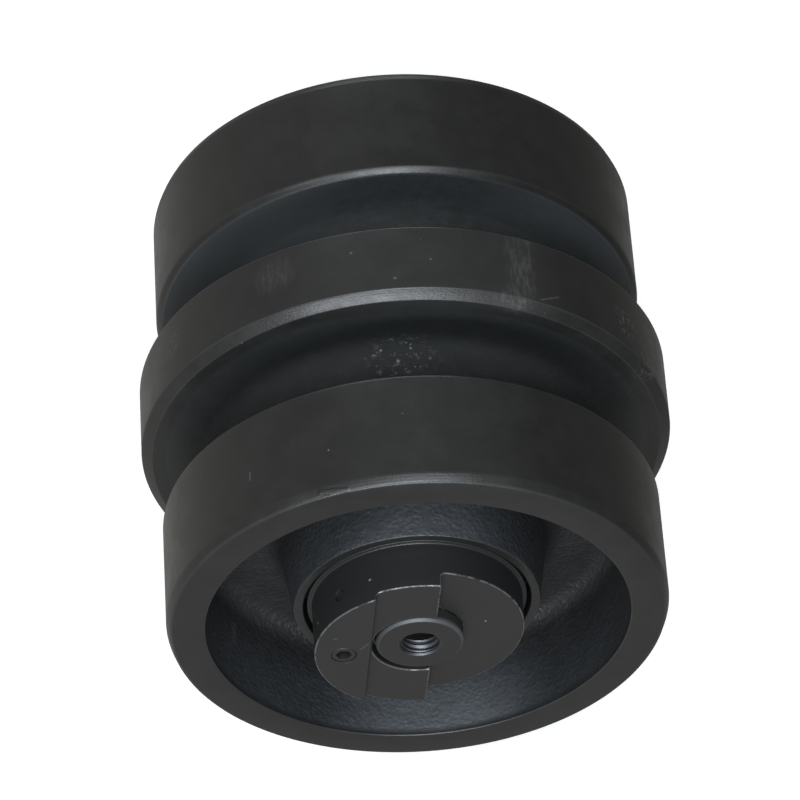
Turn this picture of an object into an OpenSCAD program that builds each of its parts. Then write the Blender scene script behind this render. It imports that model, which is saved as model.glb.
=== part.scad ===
// Track roller for the underside of a rubber-track undercarriage: a lathe-turned shell with two rim
// treads and a centre flange turns on bronze bushings over a fixed shaft. Stepped collars close the
// two ends, carry half of each floating face seal, and seat against the machine's frame plates.
// Units are mm. The axis of rotation is Y, Z is up, and the origin is the middle of the axis.
// Each end is drawn once with its local z pointing outwards from the middle, then turned to both ends.

/* [Shell] */
// Diameter of the two rim treads that run on the track
tread_dia = 155; // [150:0.5:162]
// Width of the shell from one rim face to the other
shell_w = 156; // [152:0.5:166]
// Diameter of the flange that runs between the rows of guide lugs
flange_dia = 167; // [164:0.5:180]
// Width of the centre flange where it leaves the grooves
flange_w = 27.6; // [24:0.1:30]
// Width of each rim, from its outer face to the groove beside it
rim_w = 40; // [38:0.5:42]
// Diameter at the bottom of the two guide lug grooves
groove_root_dia = 104; // [102:0.5:110]
// Diameter of the open recess in each end face
mouth_dia = 131; // [124:0.5:134]
// Depth of that recess behind the rim face
recess_depth = 34; // [26:0.5:34.5]

/* [Hub] */
// Diameter at the foot of the tapered cast hub inside each recess
hub_dia = 85; // [82:0.5:90]
// Diameter of the hub at its machined outer face
lip_dia = 76; // [75:0.5:79]
// Distance of that face behind the rim face
lip_set_back = 7; // [5:0.5:9]

/* [Collars] */
// Diameter of the end collars
collar_dia = 65; // [64:0.25:66]
// Height of the low ledge beyond the rim face
ledge_out = 2.7; // [1.5:0.1:3.5]
// Height of the flat seat for the frame plate beyond the rim face
seat_out = 7.5; // [6.5:0.1:8.5]
// Height of the crescent key beyond the rim face
key_out = 9.9; // [9.4:0.1:12]
// Distance of the key's straight wall from the axis, towards -X
key_wall_x = 15.4; // [15:0.1:18]
// Distance of the seat's other edge from the axis, towards +X
seat_edge_x = 4.2; // [2:0.1:8]

/* [Shaft] */
// Diameter of the shaft where the bushings run
journal_dia = 36; // [34:0.5:37]
// Diameter of the shaft's two ends inside the collars
shaft_end_dia = 27; // [25:0.5:28]
// Radial running clearance between shaft and bushing
running_clearance = 0.05; // [0.03:0.01:0.1]
// Nominal diameter of the tapped hole in each shaft end
bolt_dia = 12; // [10:1:14]
// Depth of the tapped holes
thread_depth = 30; // [20:1:34]

/* [Hidden] */
$fn = 96;

shell_half = shell_w / 2;
tread_r = tread_dia / 2;
flange_r = flange_dia / 2;
root_r = groove_root_dia / 2;
mouth_r = mouth_dia / 2;
hub_r = hub_dia / 2;
lip_r = lip_dia / 2;
collar_r = collar_dia / 2;
journal_r = journal_dia / 2;
shaft_end_r = shaft_end_dia / 2;
bolt_r = bolt_dia / 2;

// Turned edges of the treads: how far each chamfer runs along the axis and how deep it cuts
rim_face_chamfer = [3.1, 1.2];
rim_back_chamfer = [2.0, 1.7];
flange_chamfer = [2.3, 3.3];

// Fillets left by the casting
groove_fillet = 8;
recess_fillet = 6;
mouth_break = 1;

// Axial stations, measured outwards from the middle of the roller
groove_inner = flange_w / 2;
groove_outer = shell_half - rim_w;
recess_floor = shell_half - recess_depth;
lip_z = shell_half - lip_set_back;
ledge_z = shell_half + ledge_out;
seat_z = shell_half + seat_out;
key_z = shell_half + key_out;
bushing_outer = 52;
bushing_inner = 15;
bushing_flange_h = 3;
thrust_gap = 0.3;
shoulder_z = bushing_outer + thrust_gap;

// Bushing and oil chamber
bushing_r = journal_r + 4;
bushing_flange_r = journal_r + 9;
chamber_r = bushing_r + 4;
seat_play = 0.02;

// Face seal: two lapped metal rings meet at seal_plane, each squeezed onto a rubber ring
seal_plane = 62;
seal_face_gap = 0.3;
seal_in_r = 22;
seal_tail_r = 24.75;
seal_face_r = 29;
seal_face_h = 3.35;
seal_ring_h = 9.35;
rubber_mid_r = 27;
rubber_r = 2.2;
rubber_out_r = rubber_mid_r + rubber_r + seat_play;
rubber_off = 6.6;
pocket_mouth_r = 30.2;
pocket_mouth_off = 4.1;
pocket_floor_off = 10;
face_off = 1;
housing_r = 35.2;

// Collar: its wider foot fills the hub's mouth up to a little behind the hub's outer face
collar_foot_r = collar_r + 1.5;
collar_foot_z = lip_z - 1;
sleeve_r = 21;
collar_break = 0.6;
foot_fillet = 1.5;
shaft_clear_r = shaft_end_r + 1.3;

// Lock pin across each collar and into the shaft, leaning from +Z towards -X
pin_r = 2;
pin_z = shell_half + 2.2;
pin_lean = 52.4;
pin_tip_r = 9;
pin_set_back = 0.8;

// Oil plug in the key, with the drilling behind it that leads to the seal pocket
plug_x = -23.4;
plug_y = -1.9;
plug_r = 4;
plug_h = 8;
plug_socket_across = 4.4;
plug_socket_h = 4;
oil_hole_r = 1.6;

// Shaft details
waist_r = journal_r - 3;
waist_half = 12;
waist_chamfer = 3;
shaft_break = 0.8;
thread_mouth_r = bolt_r + 0.5;
shaft_o_ring_r = 1.05;
shaft_o_ring_mid_r = shaft_end_r - 1.1;
shaft_o_groove_r = shaft_o_ring_mid_r - 1.1;
shaft_o_groove_w = 2.6;
shaft_o_ring_z = 68;

charcoal = [0.16, 0.16, 0.17];
olive_grey = [0.24, 0.24, 0.23];
steel = [0.62, 0.63, 0.65];
bronze = [0.72, 0.55, 0.30];
black_rubber = [0.07, 0.07, 0.07];

module near_end() {
    rotate([90, 0, 0])
        children();
}

module far_end() {
    rotate([-90, 0, 0])
        children();
}

// Half of the shell's section, from the middle plane outwards: x is the radius, y runs along the axis
module shell_half_section() {
    difference() {
        polygon([
            [chamber_r, 0],
            [flange_r, 0],
            [flange_r, groove_inner - flange_chamfer[0]],
            [flange_r - flange_chamfer[1], groove_inner],
            [tread_r - rim_back_chamfer[1], groove_inner],
            [tread_r - rim_back_chamfer[1], groove_outer],
            [tread_r, groove_outer + rim_back_chamfer[0]],
            [tread_r, shell_half - rim_face_chamfer[0]],
            [tread_r - rim_face_chamfer[1], shell_half],
            [mouth_r + mouth_break, shell_half],
            [mouth_r, shell_half - mouth_break],
            [mouth_r, lip_z],
            [housing_r, lip_z],
            [housing_r, seal_plane - face_off],
            [pocket_mouth_r, seal_plane - face_off],
            [pocket_mouth_r, seal_plane - pocket_mouth_off],
            [rubber_out_r, seal_plane - pocket_mouth_off],
            [rubber_out_r, bushing_outer],
            [bushing_flange_r + seat_play, bushing_outer],
            [bushing_flange_r + seat_play, bushing_outer - bushing_flange_h],
            [bushing_r + seat_play, bushing_outer - bushing_flange_h],
            [bushing_r + seat_play, bushing_inner],
            [chamber_r, bushing_inner]
        ]);
        groove_section();
        recess_section();
    }
}

// Guide lug groove, with rounded corners at the root
module groove_section() {
    corner_r = root_r + groove_fillet;
    translate([corner_r, groove_inner])
        square([flange_r, groove_outer - groove_inner]);
    translate([root_r, groove_inner + groove_fillet])
        square([groove_fillet + 1, groove_outer - groove_inner - 2 * groove_fillet]);
    for (y = [groove_inner + groove_fillet, groove_outer - groove_fillet])
        translate([corner_r, y])
            circle(groove_fillet);
}

// Recess between the rim and the tapered hub, with rounded corners at its floor
module recess_section() {
    fillet_z = recess_floor + recess_fillet;
    floor_r0 = hub_r + recess_fillet;
    floor_r1 = mouth_r - recess_fillet;
    translate([floor_r0, recess_floor])
        square([floor_r1 - floor_r0, shell_half]);
    for (x = [floor_r0, floor_r1])
        translate([x, fillet_z])
            circle(recess_fillet);
    polygon([
        [hub_r, fillet_z],
        [mouth_r, fillet_z],
        [mouth_r, shell_half - mouth_break],
        [lip_r, shell_half - mouth_break],
        [lip_r, lip_z]
    ]);
}

module roller_shell() {
    color(charcoal)
        rotate([90, 0, 0])
            rotate_extrude($fn = 144)
                union() {
                    shell_half_section();
                    mirror([0, 1])
                        shell_half_section();
                }
}

// Half of the shaft's section, from the middle plane outwards
module shaft_half_section() {
    difference() {
        polygon([
            [0, 0],
            [waist_r, 0],
            [waist_r, waist_half - waist_chamfer],
            [journal_r, waist_half],
            [journal_r, shoulder_z],
            [shaft_end_r, shoulder_z],
            [shaft_end_r, seat_z - shaft_break],
            [shaft_end_r - shaft_break, seat_z],
            [thread_mouth_r, seat_z],
            [bolt_r, seat_z - thread_mouth_r + bolt_r],
            [bolt_r, seat_z - thread_depth],
            [0, seat_z - thread_depth - bolt_r / 2]
        ]);
        translate([shaft_o_groove_r, shaft_o_ring_z - shaft_o_groove_w / 2])
            square([shaft_end_r, shaft_o_groove_w]);
    }
}

module shaft() {
    color(steel)
        difference() {
            rotate([90, 0, 0])
                rotate_extrude()
                    union() {
                        shaft_half_section();
                        mirror([0, 1])
                            shaft_half_section();
                    }
            near_end()
                pin_hole();
            far_end()
                pin_hole();
        }
}

// A lock pin's line runs outwards from the axis; children are drawn along it with z as the radius
module along_pin() {
    translate([0, 0, pin_z])
        rotate([0, 0, pin_lean])
            rotate([-90, 0, 0])
                children();
}

module pin_hole() {
    along_pin()
        translate([0, 0, pin_tip_r - 0.5])
            cylinder(h = collar_r, r = pin_r + seat_play, $fn = 32);
}

// Flanged bronze bushing, pressed into the shell
module bushing() {
    bore_r = journal_r + running_clearance;
    color(bronze)
        rotate_extrude()
            polygon([
                [bore_r + 0.5, bushing_inner],
                [bushing_r, bushing_inner],
                [bushing_r, bushing_outer - bushing_flange_h],
                [bushing_flange_r, bushing_outer - bushing_flange_h],
                [bushing_flange_r, bushing_outer],
                [bore_r + 0.5, bushing_outer],
                [bore_r, bushing_outer - 0.5],
                [bore_r, bushing_inner + 0.5]
            ]);
}

// One lapped ring of a face seal, drawn in its place; way is 1 for the collar's side, -1 for the shell's
module seal_ring(way) {
    color(steel)
        translate([0, 0, seal_plane])
            mirror([0, 0, way > 0 ? 0 : 1])
                rotate_extrude()
                    translate([0, seal_face_gap / 2])
                        polygon([
                            [seal_in_r + 2, 0],
                            [seal_face_r, 0],
                            [seal_face_r, seal_face_h - 1],
                            [seal_face_r - 1, seal_face_h],
                            [seal_tail_r, seal_face_h],
                            [seal_tail_r, seal_ring_h],
                            [seal_in_r, seal_ring_h],
                            [seal_in_r, 1]
                        ]);
}

// Rubber ring that drives and loads a seal ring
module seal_rubber(way) {
    color(black_rubber)
        translate([0, 0, seal_plane + way * rubber_off])
            rotate_extrude()
                translate([rubber_mid_r, 0])
                    circle(rubber_r, $fn = 32);
}

// Material cut away beyond a level on the +X side of a wall, with a fillet left at the wall's foot
module step_cut(wall_x, level) {
    far = collar_dia;
    translate([0, far / 2, 0])
        rotate([90, 0, 0])
            linear_extrude(far)
                difference() {
                    translate([wall_x, level])
                        square([far, far]);
                    difference() {
                        translate([wall_x - 1, level - 1])
                            square(foot_fillet + 1);
                        translate([wall_x + foot_fillet, level + foot_fillet])
                            circle(foot_fillet, $fn = 48);
                    }
                }
}

// End collar: a key, a seat and a ledge at three levels outside, a seal pocket and a sleeve inside
module collar() {
    color(olive_grey)
        difference() {
            rotate_extrude()
                polygon([
                    [shaft_end_r, shoulder_z],
                    [sleeve_r, shoulder_z],
                    [sleeve_r, seal_plane + pocket_floor_off],
                    [rubber_out_r, seal_plane + pocket_floor_off],
                    [rubber_out_r, seal_plane + pocket_mouth_off],
                    [pocket_mouth_r, seal_plane + pocket_mouth_off],
                    [pocket_mouth_r, seal_plane + face_off],
                    [collar_foot_r - collar_break, seal_plane + face_off],
                    [collar_foot_r, seal_plane + face_off + collar_break],
                    [collar_foot_r, collar_foot_z - collar_break],
                    [collar_foot_r - collar_break, collar_foot_z],
                    [collar_r, collar_foot_z],
                    [collar_r, key_z],
                    [shaft_end_r, key_z]
                ]);
            step_cut(-key_wall_x, seat_z);
            step_cut(seat_edge_x, ledge_z);
            translate([0, 0, ledge_z])
                cylinder(h = key_out, r = shaft_clear_r);
            pin_hole();
            translate([plug_x, plug_y, key_z - plug_h])
                cylinder(h = plug_h + 1, r = plug_r + seat_play, $fn = 48);
            translate([plug_x, plug_y, seal_plane])
                cylinder(h = key_z - seal_plane, r = oil_hole_r, $fn = 32);
        }
}

// Spring steel pin that keeps a collar on the shaft
module lock_pin() {
    color(steel)
        along_pin()
            translate([0, 0, pin_tip_r])
                rotate_extrude($fn = 32)
                    polygon([
                        [0, 0],
                        [pin_r - 0.4, 0],
                        [pin_r, 0.4],
                        [pin_r, collar_r - pin_set_back - pin_tip_r - 0.4],
                        [pin_r - 0.4, collar_r - pin_set_back - pin_tip_r],
                        [0, collar_r - pin_set_back - pin_tip_r]
                    ]);
}

module shaft_o_ring() {
    color(black_rubber)
        translate([0, 0, shaft_o_ring_z])
            rotate_extrude()
                translate([shaft_o_ring_mid_r, 0])
                    circle(shaft_o_ring_r, $fn = 24);
}

// Flush plug with a hexagon socket
module oil_plug() {
    color(steel)
        translate([plug_x, plug_y, key_z - plug_h])
            difference() {
                rotate_extrude($fn = 48)
                    polygon([
                        [0, 0],
                        [plug_r - 0.5, 0],
                        [plug_r, 0.5],
                        [plug_r, plug_h - 0.5],
                        [plug_r - 0.5, plug_h],
                        [0, plug_h]
                    ]);
                translate([0, 0, plug_h - plug_socket_h])
                    cylinder(h = plug_socket_h + 1, d = plug_socket_across / cos(30), $fn = 6);
            }
}

roller_shell();
shaft();
near_end() bushing();  // bushing_near
far_end() bushing();  // bushing_far
near_end() seal_ring(-1);  // seal_ring_rotating_near
far_end() seal_ring(-1);  // seal_ring_rotating_far
near_end() seal_ring(1);  // seal_ring_fixed_near
far_end() seal_ring(1);  // seal_ring_fixed_far
near_end() seal_rubber(-1);  // seal_rubber_rotating_near
far_end() seal_rubber(-1);  // seal_rubber_rotating_far
near_end() seal_rubber(1);  // seal_rubber_fixed_near
far_end() seal_rubber(1);  // seal_rubber_fixed_far
near_end() collar();  // collar_near
far_end() collar();  // collar_far
near_end() lock_pin();  // lock_pin_near
far_end() lock_pin();  // lock_pin_far
near_end() shaft_o_ring();  // shaft_o_ring_near
far_end() shaft_o_ring();  // shaft_o_ring_far
near_end() oil_plug();  // oil_plug_near
far_end() oil_plug();  // oil_plug_far
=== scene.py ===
"""Looks of a sealed track roller: turned and cast shell, stepped end collars, tapped shaft ends, seals."""

import math

import bmesh
import bpy
import numpy as np
from mathutils import Matrix, Vector, noise


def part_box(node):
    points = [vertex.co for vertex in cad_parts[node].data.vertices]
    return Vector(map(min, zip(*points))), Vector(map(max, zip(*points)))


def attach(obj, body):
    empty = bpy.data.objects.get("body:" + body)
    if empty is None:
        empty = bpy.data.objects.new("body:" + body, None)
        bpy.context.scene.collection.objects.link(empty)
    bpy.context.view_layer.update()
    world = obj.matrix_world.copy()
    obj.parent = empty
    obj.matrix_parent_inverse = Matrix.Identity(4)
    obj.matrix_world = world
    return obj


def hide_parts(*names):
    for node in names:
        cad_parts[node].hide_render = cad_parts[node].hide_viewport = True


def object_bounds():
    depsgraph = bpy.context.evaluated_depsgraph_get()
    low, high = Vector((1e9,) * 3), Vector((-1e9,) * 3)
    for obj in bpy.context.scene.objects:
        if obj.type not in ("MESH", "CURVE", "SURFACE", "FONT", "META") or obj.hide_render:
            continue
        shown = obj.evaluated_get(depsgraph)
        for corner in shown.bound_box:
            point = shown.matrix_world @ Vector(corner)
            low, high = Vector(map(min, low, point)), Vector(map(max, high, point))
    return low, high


MM = 0.001
SHARP_ABOVE = 50

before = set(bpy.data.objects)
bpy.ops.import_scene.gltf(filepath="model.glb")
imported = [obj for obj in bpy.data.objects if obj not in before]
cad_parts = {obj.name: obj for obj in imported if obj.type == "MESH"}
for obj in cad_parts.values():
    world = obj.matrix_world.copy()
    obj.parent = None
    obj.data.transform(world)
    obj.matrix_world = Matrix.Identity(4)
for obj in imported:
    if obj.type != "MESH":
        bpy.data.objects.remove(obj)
cad_low, cad_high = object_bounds()

# ---------------------------------------------------------------- sizes, in mm
shell_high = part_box("roller_shell")[1]
collar_low, collar_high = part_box("collar_near")
SHELL_HALF = shell_high.y / MM
FLANGE_R = shell_high.x / MM
COLLAR_FOOT_R = collar_high.x / MM
COLLAR_R = COLLAR_FOOT_R - 1.5
KEY_Y = -collar_low.y / MM
SHOULDER_Y = -collar_high.y / MM
SEAT_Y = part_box("shaft")[1].y / MM

# the shell and its seal housings: radii, then places and lengths along the axis
TREAD_R = 77.5
ROOT_R = 52.0
MOUTH_R = 65.5
HUB_R = 42.5
LIP_R = 38.0
HOUSING_R = 35.2
SEAL_MOUTH_R = 30.2
SEAL_SEAT_R = 29.22
BUSHING_FLANGE_R = 27.02
BUSHING_R = 22.02
OIL_SPACE_R = 26.0
GROOVE_INNER = 13.8
GROOVE_OUTER = 38.0
RECESS_FLOOR = SHELL_HALF - 34.0
LIP_Y = SHELL_HALF - 7.0
SEAL_PLANE = 62.0
SEAL_GAP = 1.0
SEAL_MOUTH = 4.1
SEAL_POCKET = 10.0
BUSHING_OUTER = 52.0
BUSHING_INNER = 15.0
BUSHING_FLANGE = 3.0
BREAK = 0.3

# the shaft and its tapped holes
JOURNAL_R = 18.0
WAIST_R = 15.0
SHAFT_END_R = 13.5
SHAFT_CHAMFER = 0.8
O_RING_ROOT_R = 11.3
O_RING_INNER = 66.7
O_RING_OUTER = 69.3
THREAD_R = 6.0
THREAD_PITCH = 1.75
THREAD_DEPTH = 30.0
THREAD_MOUTH = 0.5
DRILL_POINT = 3.0

# the collars
LEDGE_Y = SHELL_HALF + 2.7
BOSS_BORE_R = 21.0
SHAFT_CLEAR_R = 14.8
KEY_WALL_X = 15.4
SEAT_EDGE_X = 4.2
FOOT_FILLET = 1.5
COLLAR_BREAK = 0.40
PLUG_HOLE_R = 4.02
PLUG_X = -23.4
PLUG_LOW = -1.9
PIN_HOLE_R = 2.02
PIN_LEAN = 52.4
PIN_Y = SHELL_HALF + 2.2

# how much of the casting's skin a surface keeps
TURNED = 0
SKIMMED = 0.3
CAST = 1


# ---------------------------------------------------------------- turned shapes
def soft_outline(corners):
    """Points along a section whose corners are rounded.

    Each corner is (radius, distance from the middle plane, rounding, skin of the stretch that follows).
    A skin is CAST for an as-cast surface, TURNED for a turned one and SKIMMED for one between them.
    Returns rows of (radius, distance, cast share, edge share), closely spaced where the surface is cast.
    """
    points = [np.array(c[:2], float) for c in corners]
    rows = []
    for i, (spot, corner) in enumerate(zip(points, corners)):
        skin = corner[3]
        last = corners[i - 1][3] if i else skin
        if 0 < i < len(points) - 1 and corner[2] > 0:
            before = points[i - 1] - spot
            after = points[i + 1] - spot
            before /= np.linalg.norm(before)
            after /= np.linalg.norm(after)
            opening = math.acos(max(-1.0, min(1.0, float(before @ after))))
            if math.pi - opening < 0.02:
                rows.append((*spot, skin, 0.0))
                continue
            reach = corner[2] / math.tan(opening / 2)
            start = spot + before * reach
            end = spot + after * reach
            inward = (before + after) / np.linalg.norm(before + after)
            middle = spot + inward * corner[2] / math.sin(opening / 2)
            turn = math.pi - opening
            steps = max(2, int(math.ceil(turn / math.radians(16))), int(corner[2] * turn / 1.0))
            first = start - middle
            side = end - middle
            for k in range(steps + 1):
                t = k / steps
                weight_a = math.sin((1 - t) * turn) / math.sin(turn)
                weight_b = math.sin(t * turn) / math.sin(turn)
                place = middle + first * weight_a + side * weight_b
                # The edge share carries the painted highlight along tight turned corners.
                edge = (1.0 - abs(2 * t - 1)) * sharpness(corner[2]) * (1.0 - max(last, skin))
                rows.append((*place, last + (skin - last) * t, edge))
        else:
            rows.append((*spot, skin, 0.0))
    filled = [rows[0]]
    for a, b in zip(rows, rows[1:]):
        gap = math.hypot(b[0] - a[0], b[1] - a[1])
        step = 1.0 if max(a[2], b[2]) > 0.5 else 6.0
        parts = max(1, int(gap / step))
        for k in range(1, parts + 1):
            filled.append(tuple(a[j] + (b[j] - a[j]) * k / parts for j in range(4)))
    return filled


def sharpness(rounding):
    """How far a rounded corner takes the painted edge highlight: wholly when it is tight, not at all above
    3 mm.
    """
    return max(0.0, min(1.0, (3.0 - rounding) / 2.0))


def both_ends(half):
    """A whole closed section from the half on one side of the middle plane."""
    near = [(r, -d, c, e) for r, d, c, e in half]
    far = [(r, d, c, e) for r, d, c, e in reversed(half)]
    return near + far[1:-1]


def spin(name, section, segments, relief=None):
    """A closed turned shape around the Y axis, with its cast and edge shares kept on the mesh."""
    rows = np.array(section, float)
    n = len(rows)
    angle = np.arange(segments) * 2 * math.pi / segments
    radius = np.repeat(rows[:, 0][:, None], segments, axis=1)
    along = np.repeat(rows[:, 1][:, None], segments, axis=1)
    cast = np.repeat(rows[:, 2][:, None], segments, axis=1)
    edge = np.repeat(rows[:, 3][:, None], segments, axis=1)
    if relief is not None:
        tangent = np.roll(rows[:, :2], -1, axis=0) - np.roll(rows[:, :2], 1, axis=0)
        tangent /= np.maximum(np.linalg.norm(tangent, axis=1), 1e-9)[:, None]
        lift = relief(radius, along, angle[None, :], cast)
        radius = radius + lift * tangent[:, 1][:, None] * -1.0
        along = along + lift * tangent[:, 0][:, None]
    places = np.stack([radius * np.sin(angle), along, radius * np.cos(angle)], axis=-1).reshape(-1, 3) * MM
    i = np.arange(n)[:, None]
    j = np.arange(segments)[None, :]
    i2 = (i + 1) % n
    j2 = (j + 1) % segments
    quads = np.stack([i * segments + j, i * segments + j2, i2 * segments + j2, i2 * segments + j], axis=-1)
    mesh = bpy.data.meshes.new(name)
    mesh.from_pydata(places.tolist(), [], quads.reshape(-1, 4).tolist())
    outward(mesh)
    for label, share in (("cast", cast), ("edge", edge)):
        layer = mesh.attributes.new(label, "FLOAT", "POINT")
        layer.data.foreach_set("value", share.reshape(-1).astype(np.float32))
    return place(name, mesh)


def outward(mesh):
    """Turns every face of a closed mesh outwards."""
    bm = bmesh.new()
    bm.from_mesh(mesh)
    bmesh.ops.recalc_face_normals(bm, faces=bm.faces)
    if bm.calc_volume(signed=True) < 0:
        bmesh.ops.reverse_faces(bm, faces=bm.faces)
    bm.to_mesh(mesh)
    bm.free()


def place(name, mesh, sharp_above=SHARP_ABOVE):
    """Puts a mesh in the scene, smooth except across its sharp edges."""
    mesh.polygons.foreach_set("use_smooth", [True] * len(mesh.polygons))
    mesh.set_sharp_from_angle(angle=math.radians(sharp_above))
    piece = bpy.data.objects.new(name, mesh)
    bpy.context.scene.collection.objects.link(piece)
    return piece


def prism(outline, low, high):
    """A block whose outline lies in the X-Y plane and which runs from low to high along Z, in mm."""
    bm = bmesh.new()
    foot = [bm.verts.new((x * MM, y * MM, low * MM)) for x, y in outline]
    head = [bm.verts.new((x * MM, y * MM, high * MM)) for x, y in outline]
    bm.faces.new(foot)
    bm.faces.new(head)
    for k in range(len(outline)):
        m = (k + 1) % len(outline)
        bm.faces.new((foot[k], foot[m], head[m], head[k]))
    mesh = bpy.data.meshes.new("cutter")
    bmesh.ops.recalc_face_normals(bm, faces=bm.faces)
    bm.to_mesh(mesh)
    bm.free()
    return place("cutter", mesh)


def drill(radius, low, high, sides=64):
    """A round cutter along Z."""
    ring = [2 * math.pi * k / sides for k in range(sides)]
    return prism([(radius * math.cos(a), radius * math.sin(a)) for a in ring], low, high)


def finished(piece):
    """Applies every modifier of a piece, so that its mesh is the final shape."""
    graph = bpy.context.evaluated_depsgraph_get()
    shaped = bpy.data.meshes.new_from_object(piece.evaluated_get(graph))
    piece.modifiers.clear()
    old = piece.data
    piece.data = shaped
    bpy.data.meshes.remove(old)
    shaped.polygons.foreach_set("use_smooth", [True] * len(shaped.polygons))
    shaped.set_sharp_from_angle(angle=math.radians(SHARP_ABOVE))
    return piece


def cut(piece, cutters):
    """Cuts each cutter out of a piece."""
    for tool in cutters:
        hole = piece.modifiers.new("cut", "BOOLEAN")
        hole.operation = "DIFFERENCE"
        hole.solver = "EXACT"
        hole.object = tool
    finished(piece)
    for tool in cutters:
        bpy.data.objects.remove(tool)
    return piece


def break_edges(piece, width, slot, above=35):
    """A small rounded break on every sharp edge, as a file or a deburring tool leaves it.

    The break takes the piece's material of that slot.
    """
    weld = piece.modifiers.new("weld", "WELD")
    weld.merge_threshold = 0.12 * MM
    edge = piece.modifiers.new("break", "BEVEL")
    edge.use_clamp_overlap = False
    edge.width = width * MM
    edge.segments = 3
    edge.limit_method = "ANGLE"
    edge.angle_limit = math.radians(above)
    edge.material = slot
    return finished(piece)


# ---------------------------------------------------------------- the shell
def shell_section():
    """Half of the shell's section, from the middle plane out along the treads and back through the bore."""
    return soft_outline([
        (FLANGE_R, 0.0, 0, TURNED),
        (FLANGE_R, GROOVE_INNER - 2.3, 0.9, TURNED),
        (FLANGE_R - 3.3, GROOVE_INNER, 0.9, TURNED),
        (ROOT_R, GROOVE_INNER, 8.0, SKIMMED),
        (ROOT_R, GROOVE_OUTER, 8.0, TURNED),
        (TREAD_R - 1.7, GROOVE_OUTER, 1.4, TURNED),
        (TREAD_R, GROOVE_OUTER + 2.0, 1.8, TURNED),
        (TREAD_R, SHELL_HALF - 3.1, 2.5, TURNED),
        (TREAD_R - 1.2, SHELL_HALF, 1.4, TURNED),
        (MOUTH_R, SHELL_HALF, 0.5, TURNED),
        (MOUTH_R, SHELL_HALF - 3.0, BREAK, CAST),
        (MOUTH_R, RECESS_FLOOR, 6.0, CAST),
        (HUB_R, RECESS_FLOOR, 6.0, CAST),
        (LIP_R, LIP_Y, 0.35, TURNED),
        (HOUSING_R, LIP_Y, 0.5, TURNED),
        (HOUSING_R, SEAL_PLANE - SEAL_GAP, BREAK, TURNED),
        (SEAL_MOUTH_R, SEAL_PLANE - SEAL_GAP, BREAK, TURNED),
        (SEAL_MOUTH_R, SEAL_PLANE - SEAL_MOUTH, BREAK, TURNED),
        (SEAL_SEAT_R, SEAL_PLANE - SEAL_MOUTH, BREAK, TURNED),
        (SEAL_SEAT_R, BUSHING_OUTER, BREAK, TURNED),
        (BUSHING_FLANGE_R, BUSHING_OUTER, BREAK, TURNED),
        (BUSHING_FLANGE_R, BUSHING_OUTER - BUSHING_FLANGE, BREAK, TURNED),
        (BUSHING_R, BUSHING_OUTER - BUSHING_FLANGE, BREAK, TURNED),
        (BUSHING_R, BUSHING_INNER, BREAK, TURNED),
        (OIL_SPACE_R, BUSHING_INNER, BREAK, TURNED),
        (OIL_SPACE_R, 0.0, 0, TURNED),
    ])


def cast_relief(radius, along, angle, cast):
    """How far the as-cast skin stands off its drawn surface, in mm: broad waves and small lumps."""
    x = radius * np.sin(angle)
    z = radius * np.cos(angle)
    lift = np.zeros_like(radius)
    for row, column in np.argwhere(cast > 0.02):
        spot = Vector((x[row, column], along[row, column], z[row, column]))
        waves = noise.noise(spot / 14.0)
        lumps = noise.noise(spot / 4.0)
        lift[row, column] = cast[row, column] * (0.24 * waves + 0.09 * lumps)
    return lift


def make_shell():
    """The turned shell with its cast skin, riding on the roller."""
    shell = spin("roller_shell_skin", both_ends(shell_section()), 360, cast_relief)
    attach(shell, "roller")
    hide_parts("roller_shell")
    return shell


# ---------------------------------------------------------------- collars and shaft
def step_outline(wall_x, level):
    """The space beyond a level on the +X side of a wall, with a fillet at the wall's foot."""
    far = 2 * COLLAR_R
    fillet = []
    for k in range(9, -1, -1):
        a = math.radians(10 * k)
        fillet.append((wall_x + FOOT_FILLET - FOOT_FILLET * math.sin(a),
                       level + FOOT_FILLET - FOOT_FILLET * math.cos(a)))
    return [(wall_x, level + far), *fillet, (wall_x + far, level), (wall_x + far, level + far)]


def toward(end):
    """Turns a piece drawn with its outside along +Z to the near end (-Y) or the far end (+Y)."""
    return Matrix.Rotation(math.radians(90 if end == "near" else -90), 4, "X")


def set_at(piece, end):
    """Carries a piece drawn at one end to its own end of the roller."""
    piece.data.transform(toward(end))
    return piece


def collar_blank():
    """The collar as it comes off the lathe, before its steps are milled."""
    section = [
        (SHAFT_END_R, SHOULDER_Y), (BOSS_BORE_R, SHOULDER_Y), (BOSS_BORE_R, SEAL_PLANE + SEAL_POCKET),
        (SEAL_SEAT_R, SEAL_PLANE + SEAL_POCKET), (SEAL_SEAT_R, SEAL_PLANE + SEAL_MOUTH),
        (SEAL_MOUTH_R, SEAL_PLANE + SEAL_MOUTH), (SEAL_MOUTH_R, SEAL_PLANE + SEAL_GAP),
        (COLLAR_FOOT_R, SEAL_PLANE + SEAL_GAP), (COLLAR_FOOT_R, LIP_Y - 1.0), (COLLAR_R, LIP_Y - 1.0),
        (COLLAR_R, PIN_Y - 5.0), (COLLAR_R, PIN_Y + 3.0), (COLLAR_R, KEY_Y), (SHAFT_END_R, KEY_Y),
    ]
    blank = spin("collar_blank", [(r, d, 0.0, 0.0) for r, d in section], 160)
    blank.data.transform(Matrix.Rotation(math.radians(90), 4, "X"))
    return blank


def along_pin():
    """Carries a piece drawn along +Z to the lock pin's line, in the frame of one end."""
    lean = Matrix.Rotation(math.radians(PIN_LEAN), 4, "Z") @ Matrix.Rotation(math.radians(-90), 4, "X")
    return Matrix.Translation((0, 0, PIN_Y * MM)) @ lean


def pin_drill(low, high):
    """The drill for the lock pin, from one radius to another."""
    tool = drill(PIN_HOLE_R, low, high, 32)
    tool.data.transform(along_pin())
    return tool


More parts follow.
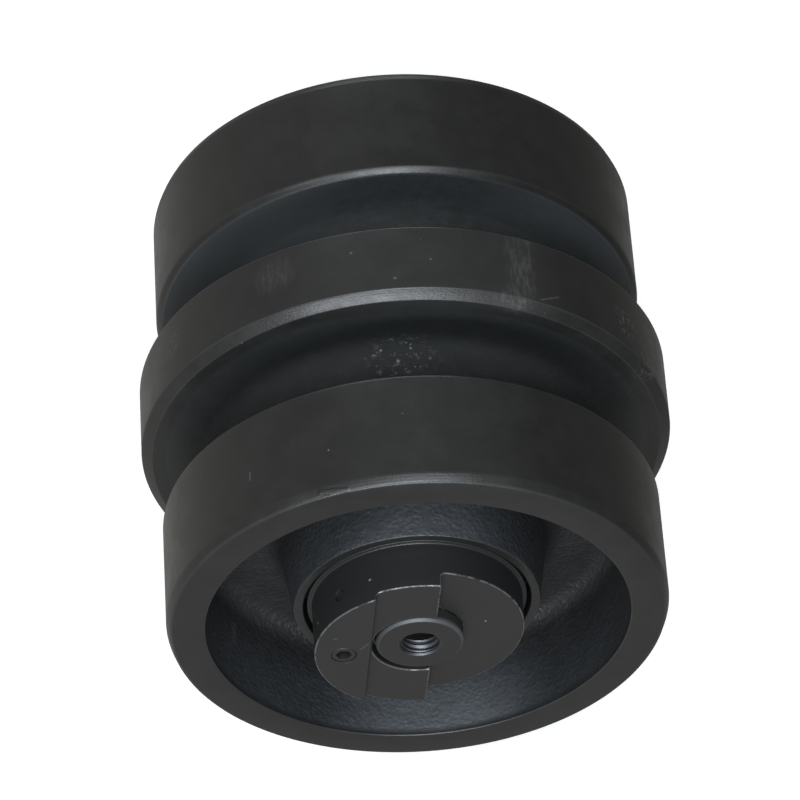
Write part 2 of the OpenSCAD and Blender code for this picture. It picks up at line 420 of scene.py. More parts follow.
def step_cutter(wall_x, level):
    """The milling cutter's sweep over one step of the collar."""
    tool = prism(step_outline(wall_x, level), -2 * COLLAR_R, 2 * COLLAR_R)
    tool.data.transform(Matrix.Rotation(math.radians(90), 4, "X"))
    return tool


def make_collar(end, finishes):
    """Mills, files and drills one collar. The second finish is that of its filed edges."""
    collar = collar_blank()
    collar.name = f"collar_{end}_milled"
    for finish in finishes:
        collar.data.materials.append(finish)
    cut(collar, [
        step_cutter(-KEY_WALL_X, SEAT_Y), step_cutter(SEAT_EDGE_X, LEDGE_Y),
        drill(SHAFT_CLEAR_R, LEDGE_Y, KEY_Y + 5.0, 128),
    ])
    break_edges(collar, COLLAR_BREAK, slot=1)
    plug_hole = drill(PLUG_HOLE_R, KEY_Y - 8.0, KEY_Y + 5.0, 40)
    plug_hole.data.transform(Matrix.Translation((PLUG_X * MM, PLUG_LOW * MM, 0)))
    cut(collar, [plug_hole, pin_drill(8.5, 40.0)])
    even = collar.modifiers.new("even_shading", "WEIGHTED_NORMAL")
    even.keep_sharp = True
    set_at(collar, end)
    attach(collar, "axle")
    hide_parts(f"collar_{end}")
    return collar


def make_shaft():
    """The turned shaft, with the drilled hole of each thread."""
    bottom = SEAT_Y - THREAD_DEPTH
    tip = bottom - DRILL_POINT
    half = soft_outline([
        (WAIST_R, 0.0, 0, TURNED),
        (WAIST_R, 9.0, 1.0, TURNED),
        (JOURNAL_R, 12.0, 0.5, TURNED),
        (JOURNAL_R, SHOULDER_Y, 0.2, TURNED),
        (SHAFT_END_R, SHOULDER_Y, 0.2, TURNED),
        (SHAFT_END_R, O_RING_INNER, 0.2, TURNED),
        (O_RING_ROOT_R, O_RING_INNER, 0.2, TURNED),
        (O_RING_ROOT_R, O_RING_OUTER, 0.2, TURNED),
        (SHAFT_END_R, O_RING_OUTER, 0.2, TURNED),
        (SHAFT_END_R, SEAT_Y - SHAFT_CHAMFER, 0.25, TURNED),
        (SHAFT_END_R - SHAFT_CHAMFER, SEAT_Y, 0.25, TURNED),
        (THREAD_R + THREAD_MOUTH, SEAT_Y, 0.12, TURNED),
        (THREAD_R, SEAT_Y - THREAD_MOUTH, 0.12, TURNED),
        (THREAD_R, bottom, 0.2, TURNED),
        (0.0, tip, 0, TURNED),
    ])[:-1]
    section = [(0.0, -tip, 0.0, 0.0)] + [(r, -d, c, e) for r, d, c, e in reversed(half)]
    section += [(r, d, c, e) for r, d, c, e in half[1:]] + [(0.0, tip, 0.0, 0.0)]
    shaft = solid_of_revolution("shaft_turned", section, 160)
    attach(shaft, "axle")
    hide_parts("shaft")
    return shaft


def solid_of_revolution(name, section, segments):
    """A turned solid whose section starts and ends on the axis."""
    bm = bmesh.new()
    rings = []
    for radius, along, _, _ in section:
        if radius < 1e-6:
            rings.append([bm.verts.new((0, along * MM, 0))])
            continue
        ring = []
        for k in range(segments):
            a = 2 * math.pi * k / segments
            ring.append(bm.verts.new((radius * math.sin(a) * MM, along * MM, radius * math.cos(a) * MM)))
        rings.append(ring)
    for a, b in zip(rings, rings[1:]):
        for k in range(segments):
            m = (k + 1) % segments
            corners = [a[k % len(a)], a[m % len(a)], b[m % len(b)], b[k % len(b)]]
            corners = list(dict.fromkeys(corners))
            if len(corners) > 2:
                bm.faces.new(corners)
    bmesh.ops.recalc_face_normals(bm, faces=bm.faces)
    mesh = bpy.data.meshes.new(name)
    bm.to_mesh(mesh)
    bm.free()
    return place(name, mesh, 35)


def make_thread(end):
    """The turns of the thread, a ridge that winds along the wall of the tapped hole."""
    turns = 14
    per_turn = 56
    crest_r = THREAD_R - 0.80
    start = SEAT_Y - 0.9
    bm = bmesh.new()
    rings = []
    count = turns * per_turn
    for k in range(count + 1):
        a = 2 * math.pi * k / per_turn
        depth = start - THREAD_PITCH * k / per_turn
        fade = min(1.0, k / (per_turn * 0.6), (count - k) / (per_turn * 0.6))
        fade = max(fade, 0.02)
        crest = THREAD_R - (THREAD_R - crest_r) * fade
        foot = THREAD_PITCH * 0.44 * fade
        flat = THREAD_PITCH * 0.07 * fade
        ring = []
        for r, shift in ((THREAD_R + 0.03, foot), (crest, flat), (crest, -flat), (THREAD_R + 0.03, -foot)):
            ring.append(bm.verts.new((r * math.cos(a) * MM, -r * math.sin(a) * MM, (depth + shift) * MM)))
        rings.append(ring)
    for a, b in zip(rings, rings[1:]):
        for k in range(4):
            m = (k + 1) % 4
            bm.faces.new((a[k], a[m], b[m], b[k]))
    bm.faces.new(rings[0])
    bm.faces.new(rings[-1])
    bmesh.ops.recalc_face_normals(bm, faces=bm.faces)
    mesh = bpy.data.meshes.new("thread")
    bm.to_mesh(mesh)
    bm.free()
    thread = place(f"thread_{end}", mesh, 25)
    set_at(thread, end)
    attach(thread, "axle")
    return thread


# ---------------------------------------------------------------- finishes
class Flow:
    """A value or colour on its way through a finish. Arithmetic on it adds the nodes that do it."""

    def __init__(self, finish, socket):
        self.finish = finish
        self.socket = socket

    def _math(self, operation, first, second=0.0):
        return self.finish.node("ShaderNodeMath", {"operation": operation}, {0: first, 1: second})

    def __add__(self, other):
        return self._math("ADD", self, other)

    __radd__ = __add__

    def __sub__(self, other):
        return self._math("SUBTRACT", self, other)

    def __rsub__(self, other):
        return self._math("SUBTRACT", other, self)

    def __mul__(self, other):
        return self._math("MULTIPLY", self, other)

    __rmul__ = __mul__

    def __pow__(self, other):
        return self._math("POWER", self, other)

    def least(self, other):
        return self._math("MINIMUM", self, other)

    def most(self, other):
        return self._math("MAXIMUM", self, other)

    def size(self):
        return self._math("ABSOLUTE", self)

    def wave(self):
        return self._math("SINE", self)

    def span(self, low, high, to_low=0.0, to_high=1.0):
        """Runs smoothly from to_low to to_high as the value goes from low to high, and stops there."""
        return self.finish.node(
            "ShaderNodeMapRange", {"interpolation_type": "SMOOTHSTEP", "clamp": True},
            {0: self, 1: low, 2: high, 3: to_low, 4: to_high})


class Finish:
    """One material. Places in it are in mm, in the frame of the piece."""

    def __init__(self, name):
        self.material = bpy.data.materials.new(name)
        self.material.use_nodes = True
        self.tree = self.material.node_tree
        self.tree.nodes.clear()
        self.surface = self.tree.nodes.new("ShaderNodeBsdfPrincipled")
        out = self.tree.nodes.new("ShaderNodeOutputMaterial")
        self.tree.links.new(self.surface.outputs[0], out.inputs[0])
        where = self.tree.nodes.new("ShaderNodeTexCoord")
        self.where = self.node("ShaderNodeVectorMath", {"operation": "SCALE"},
                               {0: Flow(self, where.outputs["Object"]), "Scale": 1 / MM})
        axes = self.tree.nodes.new("ShaderNodeSeparateXYZ")
        self.tree.links.new(self.where.socket, axes.inputs[0])
        self.x, self.y, self.z = (Flow(self, s) for s in axes.outputs)
        self.radius = (self.x * self.x + self.z * self.z) ** 0.5
        self.end = self.y.size()

    def node(self, kind, settings=None, inputs=None, output=0):
        """Adds a node: its settings first, then the values or links of its sockets."""
        made = self.tree.nodes.new(kind)
        for key, value in (settings or {}).items():
            setattr(made, key, value)
        for key, value in (inputs or {}).items():
            if isinstance(value, Flow):
                self.tree.links.new(value.socket, made.inputs[key])
            else:
                made.inputs[key].default_value = value
        return Flow(self, made.outputs[output])

    def kept(self, name):
        """A share stored on the piece's mesh."""
        return self.node("ShaderNodeAttribute", {"attribute_name": name}, output="Fac")

    def vector(self, operation, first, second, output=0):
        return self.node("ShaderNodeVectorMath", {"operation": operation}, {0: first, 1: second}, output)

    def shifted(self, seed, stretch=None):
        """The place on the piece, its axes scaled, and moved by a seed so that two patterns differ."""
        where = self.where
        if stretch is not None:
            where = self.vector("MULTIPLY", where, stretch)
        if seed:
            where = self.vector("ADD", where, (seed, seed, seed))
        return where

    def grain(self, per_mm, detail=2.0, rough=0.5, stretch=None, seed=0.0):
        """Noise from 0 to 1; stretch scales its axes."""
        where = self.shifted(seed, stretch)
        return self.node("ShaderNodeTexNoise", {"noise_dimensions": "3D"},
                         {"Vector": where, "Scale": per_mm, "Detail": detail, "Roughness": rough})

    def cells(self, per_mm, output="Distance", seed=0.0):
        """Distance to the nearest of many scattered sites, or that site's own random colour."""
        where = self.shifted(seed)
        return self.node("ShaderNodeTexVoronoi", {"feature": "F1"},
                         {"Vector": where, "Scale": per_mm}, output)

    def specks(self, every, size, share, seed=0.0):
        """Small round specks: one site every so many mm, size in mm, kept at a share of the sites."""
        near = self.cells(1 / every, seed=seed)
        pick = self.cells(1 / every, output="Color", seed=seed)
        chance = self.node("ShaderNodeSeparateColor", None, {0: pick})
        round_speck = near.span(size / every, 0.4 * size / every, 0.0, 1.0)
        return round_speck * chance.span(1 - share, 1 - share + 0.02)

    def spot(self, place, size):
        """1 at a place in mm, falling to 0 at size mm from it."""
        away = self.vector("DISTANCE", self.where, place, "Value")
        return away.span(size, 0.2 * size)

    def stroke(self, start, end, width):
        """1 along a straight scratch between two places, 0 at its width away."""
        a = Vector(start)
        b = Vector(end)
        way = b - a
        offset = self.vector("SUBTRACT", self.where, a)
        reach = self.vector("DOT_PRODUCT", offset, way / way.length_squared, "Value")
        reach = reach.most(0.0).least(1.0)
        along = self.node("ShaderNodeVectorMath", {"operation": "SCALE"}, {0: tuple(way), "Scale": reach})
        away = self.vector("DISTANCE", offset, along, "Value")
        return away.span(width, 0.3 * width) * (reach * (1.0 - reach) * 4.0).span(0.0, 0.35)

    def strongest(self, marks):
        """The strongest of several marks at each place.

        A mark is (place, size, strength) for a spot or (start, end, width, strength) for a stroke.
        """
        total = None
        for *shape, strength in marks:
            mark = self.spot(*shape) if len(shape) == 2 else self.stroke(*shape)
            if strength != 1.0:
                mark = mark * strength
            total = mark if total is None else total.most(mark)
        return total

    def blend(self, share, first, second):
        """Mixes two colours."""
        def colour(c):
            return c if isinstance(c, Flow) else (*c, 1.0)
        return self.node("ShaderNodeMix", {"data_type": "RGBA"},
                         {"Factor": share, 6: colour(first), 7: colour(second)}, 2)

    def bump(self, height, depth, under=None):
        """Raises the surface by height times depth, in mm."""
        inputs = {"Height": height, "Distance": depth * MM, "Strength": 1.0}
        if under is not None:
            inputs["Normal"] = under
        return self.node("ShaderNodeBump", None, inputs)

    def give(self, **sockets):
        """Sets the surface's sockets, by their names with _ for a space."""
        for key, value in sockets.items():
            socket = self.surface.inputs[key.replace("_", " ")]
            if isinstance(value, Flow):
                self.tree.links.new(value.socket, socket)
            else:
                socket.default_value = value
        return self.material


def dress(piece, material):
    """Gives a piece one material in place of any it has."""
    piece.data.materials.clear()
    piece.data.materials.append(material)


# Base colours, darkest first where there are two.
ENAMEL = ((0.0080, 0.0080, 0.0078), (0.0172, 0.0170, 0.0162))
GROOVE_ENAMEL = (0.009, 0.010, 0.010)
# Painted shade at the roots of the grooves.
ROOT_PAINTED_SHADE = (0.0075, 0.0082, 0.0088)
# A lighter groove tone: painted light, laid on most in the far groove.
GROOVE_PAINTED_LIGHT = ((0.0200, 0.0225, 0.0230), (0.0410, 0.0450, 0.0465))
# Painted light on the sides of the far groove.
GROOVE_SIDE_PAINTED_LIGHT = (0.052, 0.058, 0.060)
SKIN = ((0.018, 0.020, 0.022), (0.036, 0.039, 0.042))
# Painted shade on one side of the recess.
SKIN_SHADED = (0.010, 0.011, 0.012)
# Painted light low in the recess wall.
SKIN_LOW_PAINTED_LIGHT = ((0.062, 0.068, 0.075), (0.108, 0.116, 0.126))
# Painted light on the middle of the hub.
SKIN_HUB_PAINTED_LIGHT = ((0.035, 0.038, 0.042), (0.066, 0.071, 0.078))
SMEAR = (0.055, 0.057, 0.060)
CHIP = (0.22, 0.215, 0.215)
# Painted highlight on tight turned edges.
EDGE_PAINTED_HIGHLIGHT = (0.055, 0.058, 0.063)
SHELL_DUST = (0.20, 0.20, 0.195)
SMUDGE = (0.070, 0.068, 0.064)
# Painted light on the tops of the flange and near tread.
TOP_PAINTED_LIGHT = (0.036, 0.036, 0.035)
SCUFFED = (0.13, 0.128, 0.122)
COLLAR_PAINT = ((0.0130, 0.0130, 0.0117), (0.0185, 0.0183, 0.0164))
# Painted shade on the collar's round side.
COLLAR_SIDE_PAINTED_SHADE = (0.0125, 0.013, 0.014)
COLLAR_DUST = (0.20, 0.20, 0.19)
COLLAR_SCRATCH = (0.10, 0.10, 0.095)
EDGE_STEEL = ((0.018, 0.018, 0.017), (0.20, 0.207, 0.215))
SHAFT_PAINT = ((0.0125, 0.0125, 0.0116), (0.0175, 0.0173, 0.0160))
# Bare steel and a painted highlight on the shaft's end chamfer.
SHAFT_RIM_STEEL_AND_GLINT = (0.13, 0.135, 0.14)
THREAD_STEEL = ((0.07, 0.073, 0.080), (0.15, 0.155, 0.165))
BRONZE = ((0.42, 0.26, 0.11), (0.60, 0.40, 0.19))
RING_STEEL = ((0.42, 0.42, 0.43), (0.60, 0.60, 0.61))
RUBBER = ((0.012, 0.012, 0.012), (0.028, 0.028, 0.027))

# Marks of handling, in mm: (place, size, strength) or (start, end, width, strength).
SHELL_LINT = (
    ((-21.7, 3.8, 80.6), 0.7, 1.0),
    ((2.1, -0.8, 83.5), 0.6, 1.0),
    ((-9.1, -7.6, 83.0), 0.7, 1.0),
    ((-46.7, -42.9, -46.0), 1.0, 1.0),
    ((-34.5, -47.0, -55.7), 1.0, 1.0),
)
FLANGE_SCUFFS = (
    ((29.5, -16.0, 78.0), (30.5, 14.0, 77.7), 6.5, 1.0),
    ((-44.3, 3.0, 70.7), 9.0, 0.7),
    ((25.6, -14.1, 79.5), 7.0, 1.0),
)
FLANGE_RUBS = (
    ((65.6, -2.3, 51.7), 9.0, 1.0),
    ((72.4, -9.2, 41.6), 8.0, 1.0),
    ((-74.7, 1.3, 37.3), 7.0, 0.7),
)
SHELL_SCRATCHES = (
    ((35.4, -10.5, 75.6), (42.1, -6.8, 72.1), 0.4, 0.6),
    ((-53.7, -62.9, 55.9), (-53.7, -59.4, 55.9), 0.4, 0.7),
)
RIM_NICK = ((-65.7, -77.7, 41.2), 1.2)
RIM_DRIP = ((-35.0, -76.1, 68.6), (-25.6, -77.5, 72.6), 1.1)
RECESS_SMUDGE = ((-54.4, -53.2, -36.4), (-54.8, -62.1, -35.9), 2.2)
COLLAR_LINT = (
    ((20.1, -80.7, 5.4), 0.5, 1.0),
    ((-16.9, -80.0, 27.7), 0.6, 1.0),
    ((-31.6, -82.2, 7.4), 0.6, 1.0),
)
COLLAR_SCRATCHES = (
    ((-18.7, -87.9, 0.9), (-15.9, -87.9, 4.8), 0.35, 1.0),
    ((-27.6, -87.9, -1.9), (-26.4, -87.9, -3.9), 0.4, 0.8),
    ((-23.0, -87.9, -6.6), (-20.9, -87.9, -5.9), 0.35, 0.8),
    ((-27.3, -87.9, 7.2), (-25.9, -87.9, 7.0), 0.5, 1.0),
)


def groove_colour(f, mottle, far_groove_painted_light):
    """The lug grooves: dark paint, lightened by painted light that is strongest in the far groove and
    towards that groove's sides, and darkened by painted shade at the root.
    """
    tone = f.blend(mottle, *GROOVE_PAINTED_LIGHT)
    # Painted light: the far groove is lightened towards its left and right sides.
    groove_side_painted_light = f.x.size().span(12.0, 45.0) * f.y.span(0.0, 9.0) * 0.6
    tone = f.blend(groove_side_painted_light, tone, GROOVE_SIDE_PAINTED_LIGHT)
    # Painted light: the lighter tone covers the groove paint, fully in the far groove and about a third in
    # the near one.
    tone = f.blend(far_groove_painted_light, GROOVE_ENAMEL, tone)
    # Painted shade: the groove darkens towards its root, deep between the flanks.
    return f.blend(f.radius.span(ROOT_R + 7.0, ROOT_R + 1.0) * 0.55, tone, ROOT_PAINTED_SHADE)


def recess_colour(f, mottle):
    """The as-cast recess: dark, with painted shade on its +X side, and painted light low in its wall and on
    the middle of the hub.
    """
    tone = f.blend(mottle, *SKIN)
    # Painted shade: the recess darkens on its +X side.
    tone = f.blend(f.x.span(15.0, 48.0) * 0.45, tone, SKIN_SHADED)
    # Painted light: the recess wall is lighter towards its bottom, near the middle.
    low_wall_painted_light = f.z.span(-25.0, -58.0) * (f.x - 9.0).size().span(40.0, 8.0)
    tone = f.blend(low_wall_painted_light, tone, f.blend(mottle, *SKIN_LOW_PAINTED_LIGHT))
    # Painted light: the hub is lighter near its middle.
    hub = f.radius.span(HUB_R + 6.0, HUB_R + 2.0) * f.x.size().span(30.0, 4.0)
    return f.blend(hub, tone, f.blend(mottle, *SKIN_HUB_PAINTED_LIGHT))


def groove_knocks(f):
    """A patch at the root of the near groove where knocks have chipped the paint."""
    bruise = f.spot((-6.0, -15.0, 52.5), 15.0) * f.grain(0.42, 4.0, 0.75, seed=11.0).span(0.54, 0.66)
    chips = f.specks(1.5, 0.62, 0.34, 61.0).most(f.specks(2.6, 1.05, 0.26, 71.0))
    patch = f.spot((-6.0, -15.0, 53.0), 14.0)
    return (bruise * 0.30).most(patch * chips * f.grain(0.8, 2.0, 0.6, seed=29.0).span(0.45, 0.60))


def shell_dust(f):
    """Loose dust all over, and a few larger bits of lint."""
    dust = f.specks(9.0, 0.32, 0.10) + f.specks(15.0, 0.42, 0.10, 31.0) + f.specks(4.0, 0.16, 0.10, 47.0)
    dust = dust + f.specks(1.9, 0.13, 0.22, 83.0) * 0.35
    return (dust * 0.55).most(f.strongest(SHELL_LINT) * 0.5).least(1.0)


def shell_height(f, cast, cloud, mottle, fine, groove):
    """Relief in mm: orange peel and tool lines where the shell is turned, pebbled skin where it is cast."""
    peel = f.grain(1.3, 2.0, 0.5)
    lathe_face = (f.radius * 9.0 + cloud * 5.0).wave()
    lathe_tread = (f.end * 7.0 + cloud * 5.0).wave()
    facing = f.node("ShaderNodeNewGeometry", output="Normal")
    sides = f.node("ShaderNodeSeparateXYZ", None, {0: facing}, "Y")
    face_share = sides.size().span(0.6, 0.95)
    turning = lathe_face * face_share + lathe_tread * (1 - face_share)
    tool_lines = 0.004 + 0.007 * groove * face_share
    drip = f.stroke(*RIM_DRIP)
    turned = peel * 0.045 + turning * tool_lines + fine * 0.012 + drip * 0.12
    pebbles = 1.0 - f.cells(0.62).span(0.05, 0.75)
    small_pebbles = 1.0 - f.cells(1.1, seed=13.0).span(0.05, 0.75)
    skin = pebbles * (0.3 + 0.9 * mottle) + small_pebbles * 0.30 + f.grain(0.35, 2.0, 0.5) * 0.8
    return turned * (1 - cast) + skin * cast * 0.17


def shell_paint():
    """Satin black enamel over turned rims and grooves and an as-cast recess."""
    f = Finish("shell_enamel")
    cast = f.kept("cast")
    edge = f.kept("edge")
    cloud = f.grain(0.03, 3.0, 0.6)
    mottle = f.grain(0.35, 4.0, 0.6)
    fine = f.grain(2.2, 3.0, 0.6)
    blotch = f.grain(0.10, 4.0, 0.65).span(0.3, 0.7)

    groove = f.radius.span(TREAD_R - 0.6, TREAD_R - 2.6) * f.end.span(GROOVE_OUTER + 0.8, GROOVE_OUTER)
    # Painted light: how much the grooves are lightened, rising from the near groove to the far one.
    far_groove_painted_light = 0.30 + 0.70 * (f.y + 20.0).span(0.0, 45.0)
    recess = cast * f.end.span(GROOVE_OUTER, GROOVE_OUTER + 2.0)
    # Painted shade: deep in the recess its skin colour gives way to the darker enamel, so the recess
    # darkens towards its floor.
    depth = f.end.span(RECESS_FLOOR + 3.0, RECESS_FLOOR + 22.0, 0.40, 1.0)
    colour = f.blend(cloud * 0.45 + blotch * 0.35 + fine * 0.2, *ENAMEL)
    colour = f.blend(groove, colour, groove_colour(f, mottle, far_groove_painted_light))
    colour = f.blend(recess * depth, colour, recess_colour(f, mottle))

    smears = f.grain(0.16, 4.0, 0.7, (1.0, 1.8, 1.0), 3.0).span(0.44, 0.66) * fine.span(0.35, 0.60)
    colour = f.blend(smears * groove * far_groove_painted_light * f.radius.span(72.0, 57.0) * 0.45, colour, SMEAR)
    colour = f.blend(groove_knocks(f) * groove * 0.9, colour, CHIP)
    # Painted highlight: tight turned edges are lightened.
    colour = f.blend(edge * 0.30, colour, EDGE_PAINTED_HIGHLIGHT)
    colour = f.blend(shell_dust(f), colour, SHELL_DUST)
    colour = f.blend(f.stroke(*RECESS_SMUDGE) * 0.35, colour, SMUDGE)
    # Painted light: the tops of the flange and near tread are lightened.
    top_painted_light = f.z.span(68.0, 81.0) * f.y.span(38.0, 12.0) * (1 - groove)
    colour = f.blend(top_painted_light * 0.34, colour, TOP_PAINTED_LIGHT)

    scuff_grain = f.grain(0.5, 4.0, 0.75, (1.7, 0.3, 1.7), 7.0).span(0.42, 0.66)
    scuffs = (f.strongest(FLANGE_SCUFFS) * (scuff_grain * 0.85 + 0.15)).least(1.0)
    rubs = f.strongest(FLANGE_RUBS) * f.grain(0.8, 4.0, 0.7, seed=53.0).span(0.50, 0.68)
    scratches = f.strongest(SHELL_SCRATCHES).most(f.spot(*RIM_NICK) * fine)
    marks = (scuffs * 0.28).most(scratches * 0.5).most(rubs * 0.65)
    colour = f.blend(marks, colour, SCUFFED)

    shine = 0.27 + 0.08 * mottle + 0.08 * blotch + 0.12 * recess + 0.1 * scuffs
    shine = shine + 0.38 * groove * f.radius.span(66.0, 58.0) * f.y.span(-12.0, 6.0, 1.4, 1.0)
    height = shell_height(f, cast, cloud, mottle, fine, groove)
    return f.give(Base_Color=colour, Roughness=shine, Normal=f.bump(height, 1.0), Metallic=0.0,
                  Specular_IOR_Level=0.5)


def collar_paint():
    """Thin matt paint on a milled collar; the steel's milling shows faintly through it."""
    f = Finish("collar_enamel")
    cloud = f.grain(0.06, 3.0, 0.6)
    fine = f.grain(1.6, 3.0, 0.6)
    colour = f.blend(cloud, *COLLAR_PAINT)
    # Painted shade: the collar's round side is darker and bluer than its faces.
    side = f.radius.span(COLLAR_R - 1.0, COLLAR_R - 0.5)
    colour = f.blend(side, colour, COLLAR_SIDE_PAINTED_SHADE)
    dust = f.specks(6.0, 0.24, 0.12, 5.0) + f.specks(11.0, 0.4, 0.07, 17.0)
    colour = f.blend((dust * 0.5).most(f.strongest(COLLAR_LINT)).least(1.0), colour, COLLAR_DUST)
    scratch = f.strongest(COLLAR_SCRATCHES)
    colour = f.blend(scratch * 0.35, colour, COLLAR_SCRATCH)
    milling = (f.z * 5.0 + cloud * 8.0 + f.x * 0.4).wave()
    height = fine * 0.02 + milling * 0.003 - scratch * 0.05
    return f.give(Base_Color=colour, Roughness=0.46 + 0.10 * fine - 0.1 * scratch,
                  Normal=f.bump(height, 1.0), Metallic=0.0)


def worn_edge():
    """Where handling has rubbed the collar's paint thin, so that the steel glints through.

    The straight edge of the raised key keeps its paint, and so do the edges inside the recess.
    """
    f = Finish("collar_worn_edge")
    open_side = f.end.span(LIP_Y + 2.0, LIP_Y + 4.0)
    off_key_wall = (f.x + KEY_WALL_X).size().span(0.5, 1.0, 0.04, 1.0)
    bare = f.grain(0.35, 3.0, 0.65).span(0.35, 0.62) * open_side * off_key_wall
    fine = f.grain(2.0, 3.0, 0.6)
    return f.give(Base_Color=f.blend(bare, *EDGE_STEEL), Roughness=0.30 + 0.15 * fine, Metallic=0.8 * bare,
                  Normal=f.bump(fine, 0.02))


def shaft_finish():
    """Ground steel, painted over on the end faces and bare in the thread."""
    f = Finish("shaft_ground_and_painted")
    cloud = f.grain(0.08, 3.0, 0.6)
    fine = f.grain(2.0, 3.0, 0.6)
    mouth_r = THREAD_R + THREAD_MOUTH
    in_hole = f.radius.span(mouth_r + 0.12, mouth_r - 0.02)
    inside_collar = f.end.span(SEAT_Y - 9.0, SEAT_Y - 11.0)
    bare = in_hole.most(inside_collar)
    # Bare steel and painted highlight: the end chamfer is brighter and partly metallic.
    rim = f.radius.span(SHAFT_END_R - 0.95, SHAFT_END_R - 0.7) * f.end.span(SEAT_Y - 2.0, SEAT_Y - 1.2)
    paint = f.blend(rim * (0.5 + 0.5 * cloud), f.blend(cloud, *SHAFT_PAINT), SHAFT_RIM_STEEL_AND_GLINT)
    colour = f.blend(bare, paint, f.blend(f.grain(0.5, 3.0, 0.6), *THREAD_STEEL))
    turning = (f.end * 8.0 + cloud * 3.0).wave()
    height = fine * 0.015 + turning * 0.003 * bare
    return f.give(Base_Color=colour, Roughness=0.46 - 0.06 * bare + 0.1 * fine,
                  Metallic=bare.most(rim * 0.6), Normal=f.bump(height, 1.0))


def plain_metal(name, tones, shine, lathe=6.0):
    """A turned metal surface with fine tool lines and slight colour variation."""
    f = Finish(name)
    cloud = f.grain(0.12, 3.0, 0.6)
    fine = f.grain(1.8, 3.0, 0.6)
    lines = (f.radius * lathe + f.end * lathe + cloud * 4.0).wave()
    return f.give(Base_Color=f.blend(cloud, *tones), Roughness=shine + 0.12 * fine, Metallic=1.0,
                  Normal=f.bump(lines * 0.004 + fine * 0.01, 1.0))


def black_rubber():
    """Moulded black nitrile with a faint bloom."""
    f = Finish("black_nitrile")
    bloom = f.grain(0.2, 3.0, 0.6)
    fine = f.grain(2.5, 2.0, 0.5)
    return f.give(Base_Color=f.blend(bloom, *RUBBER), Roughness=0.55 + 0.15 * fine, Metallic=0.0,
                  Normal=f.bump(fine, 0.02))


# ---------------------------------------------------------------- assembly
dress(make_shell(), shell_paint())
collar_finish = collar_paint()
edge_finish = worn_edge()
steel_finish = shaft_finish()
for end in ("near", "far"):
    make_collar(end, (collar_finish, edge_finish))
    dress(make_thread(end), steel_finish)
dress(make_shaft(), steel_finish)

rubber = black_rubber()
inner_finishes = {
    "bushing": plain_metal("bushing_bronze", BRONZE, 0.28),
    "seal_ring": plain_metal("seal_ring_steel", RING_STEEL, 0.2, 9.0),
    "lock_pin": collar_finish,
    "oil_plug": collar_finish,
    "seal_rubber": rubber,
    "shaft_o_ring": rubber,
}
for label, finish in inner_finishes.items():
    for name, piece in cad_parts.items():
        if name.startswith(label):
            dress(piece, finish)


# ---------------------------------------------------------------- floor, lights and camera
# Lamps: name, place in metres, width and height in metres, power in watts.
SOFTBOXES = (
    ("front_low", (-0.24, -2.0, 0.50), 1.2, 0.28, 27.0),
    ("front_high", (-0.20, -1.35, 1.5), 0.8, 0.5, 21.0),
    ("overhead", (0.0, -0.68, 1.9), 1.1, 0.8, 14.0),
    ("key", (-1.25, -0.95, 1.5), 0.6, 0.6, 6.0),
    ("behind", (-0.2, 2.0, 0.75), 1.2, 0.3, 6.0),
)

# The camera: its place in mm, the way it looks, the way its right side points, and its lens on 36 mm.
CAMERA_PLACE = (-133.2, -852.7, 1199.0)
CAMERA_AHEAD = (0.08928, 0.58022, -0.80955)
CAMERA_RIGHT = (0.99599, -0.05611, 0.06963)
CAMERA_LENS = 209.7


def studio():
    """A pale floor that curves up into a backdrop, and softboxes in front, overhead, left and behind."""
    scene = bpy.context.scene
    scene.view_settings.view_transform = "Standard"
    backdrop = sweep_up("backdrop", cad_low.z)
    backdrop.visible_glossy = False
    backdrop.visible_diffuse = False
    backdrop.visible_shadow = False
    f = Finish("floor_pale")
    shade = f.grain(0.002, 2.0, 0.5)
    f.give(Base_Color=f.blend(shade, (0.84, 0.84, 0.84), (0.88, 0.88, 0.88)), Roughness=0.8,
           Specular_IOR_Level=0.1, Emission_Color=(1.0, 1.0, 1.0, 1.0), Emission_Strength=0.45)
    dress(backdrop, f.material)
    surroundings(scene)
    for name, where, width, height, watts in SOFTBOXES:
        softbox(name, where, width, height, watts)


def sweep_up(name, low):
    """A round floor whose rim curves up into a wall, in metres."""
    turns = 64
    flat = 4.2
    curve = 1.5
    profile = [(flat * k / 7, low) for k in range(1, 8)]
    for degrees in range(10, 91, 10):
        a = math.radians(degrees)
        profile.append((flat + curve * math.sin(a), low + curve * (1 - math.cos(a))))
    profile.append((flat + curve, low + 6.0))
    bm = bmesh.new()
    centre = bm.verts.new((0, 0, low))
    angles = [2 * math.pi * k / turns for k in range(turns)]
    rings = [[bm.verts.new((r * math.cos(a), r * math.sin(a), z)) for a in angles] for r, z in profile]
    for k in range(turns):
        m = (k + 1) % turns
        bm.faces.new((centre, rings[0][k], rings[0][m]))
        for a, b in zip(rings, rings[1:]):
            bm.faces.new((a[k], b[k], b[m], a[m]))
    mesh = bpy.data.meshes.new(name)
    bm.to_mesh(mesh)
    bm.free()
    return place(name, mesh)


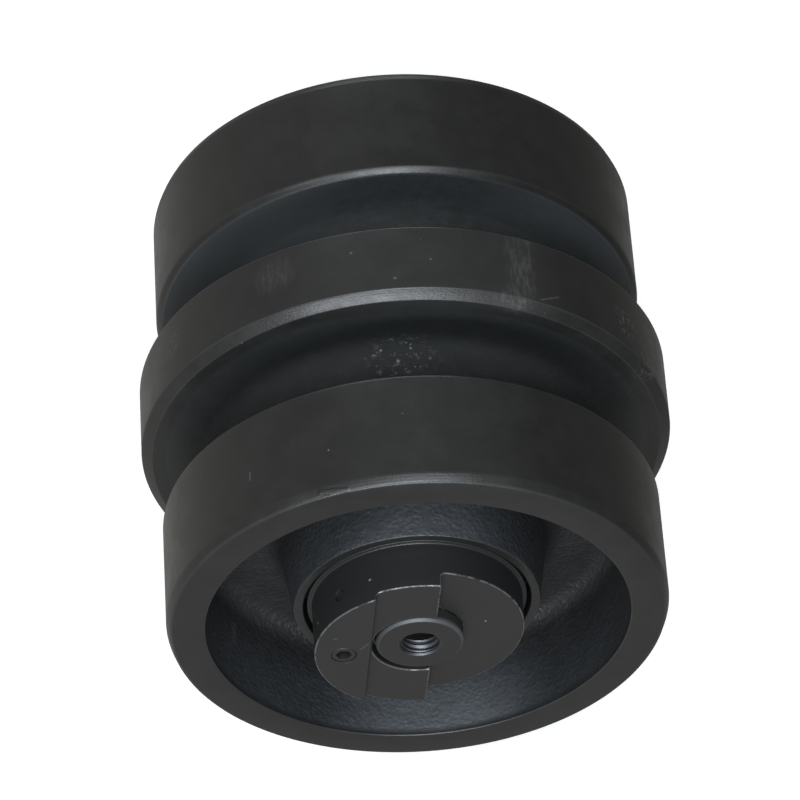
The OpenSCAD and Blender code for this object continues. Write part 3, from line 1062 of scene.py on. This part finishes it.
def surroundings(scene):
    """The light of the room: brighter to the left than to the right, and faint above and below."""
    world = bpy.data.worlds.new("studio")
    world.use_nodes = True
    tree = world.node_tree
    sky = tree.nodes["Background"]
    sky.inputs["Color"].default_value = (1.0, 0.985, 0.95, 1.0)
    way = tree.nodes.new("ShaderNodeTexCoord")
    axes = tree.nodes.new("ShaderNodeSeparateXYZ")
    tree.links.new(way.outputs["Generated"], axes.inputs[0])
    across = range_of(tree, axes.outputs["X"], (-0.9, 0.35), (0.39, 0.15))
    below = range_of(tree, axes.outputs["Z"], (-0.75, -0.30), (0.15, 0.0))
    above = range_of(tree, axes.outputs["Z"], (0.45, 0.80), (0.0, 0.045))
    total = sum_of(tree, sum_of(tree, across, below), above)
    tree.links.new(total, sky.inputs["Strength"])
    scene.world = world


def sum_of(tree, first, second):
    """Adds two values in the world's nodes."""
    made = tree.nodes.new("ShaderNodeMath")
    tree.links.new(first, made.inputs[0])
    tree.links.new(second, made.inputs[1])
    return made.outputs[0]


def range_of(tree, value, before, after):
    """Carries a value from one range to another, and stops at its ends."""
    made = tree.nodes.new("ShaderNodeMapRange")
    for key, number in zip((1, 2, 3, 4), (*before, *after)):
        made.inputs[key].default_value = number
    tree.links.new(value, made.inputs[0])
    return made.outputs[0]


def softbox(name, where, width, height, watts):
    """A rectangular lamp that faces the middle of the roller and isn't seen itself. Sizes in metres."""
    lamp = bpy.data.lights.new(name, "AREA")
    lamp.shape = "RECTANGLE"
    lamp.size = width
    lamp.size_y = height
    lamp.energy = watts
    lamp.color = (0.88, 0.94, 1.0)
    light = bpy.data.objects.new(name, lamp)
    light.location = where
    light.rotation_euler = (-Vector(where)).to_track_quat("-Z", "Y").to_euler()
    light.visible_camera = False
    bpy.context.scene.collection.objects.link(light)


def set_up_camera():
    """A long lens above and in front of the near end, leaning slightly to one side."""
    ahead = Vector(CAMERA_AHEAD)
    right = Vector(CAMERA_RIGHT)
    up = right.cross(ahead)
    turn = Matrix((right, up, -ahead)).transposed().to_4x4()
    lens = bpy.data.cameras.new("camera")
    lens.sensor_width = 36.0
    lens.lens = CAMERA_LENS
    lens.clip_end = 50.0
    camera = bpy.data.objects.new("camera", lens)
    camera.matrix_world = Matrix.Translation(Vector(CAMERA_PLACE) * MM) @ turn
    bpy.context.scene.collection.objects.link(camera)
    bpy.context.scene.camera = camera


studio()
set_up_camera()
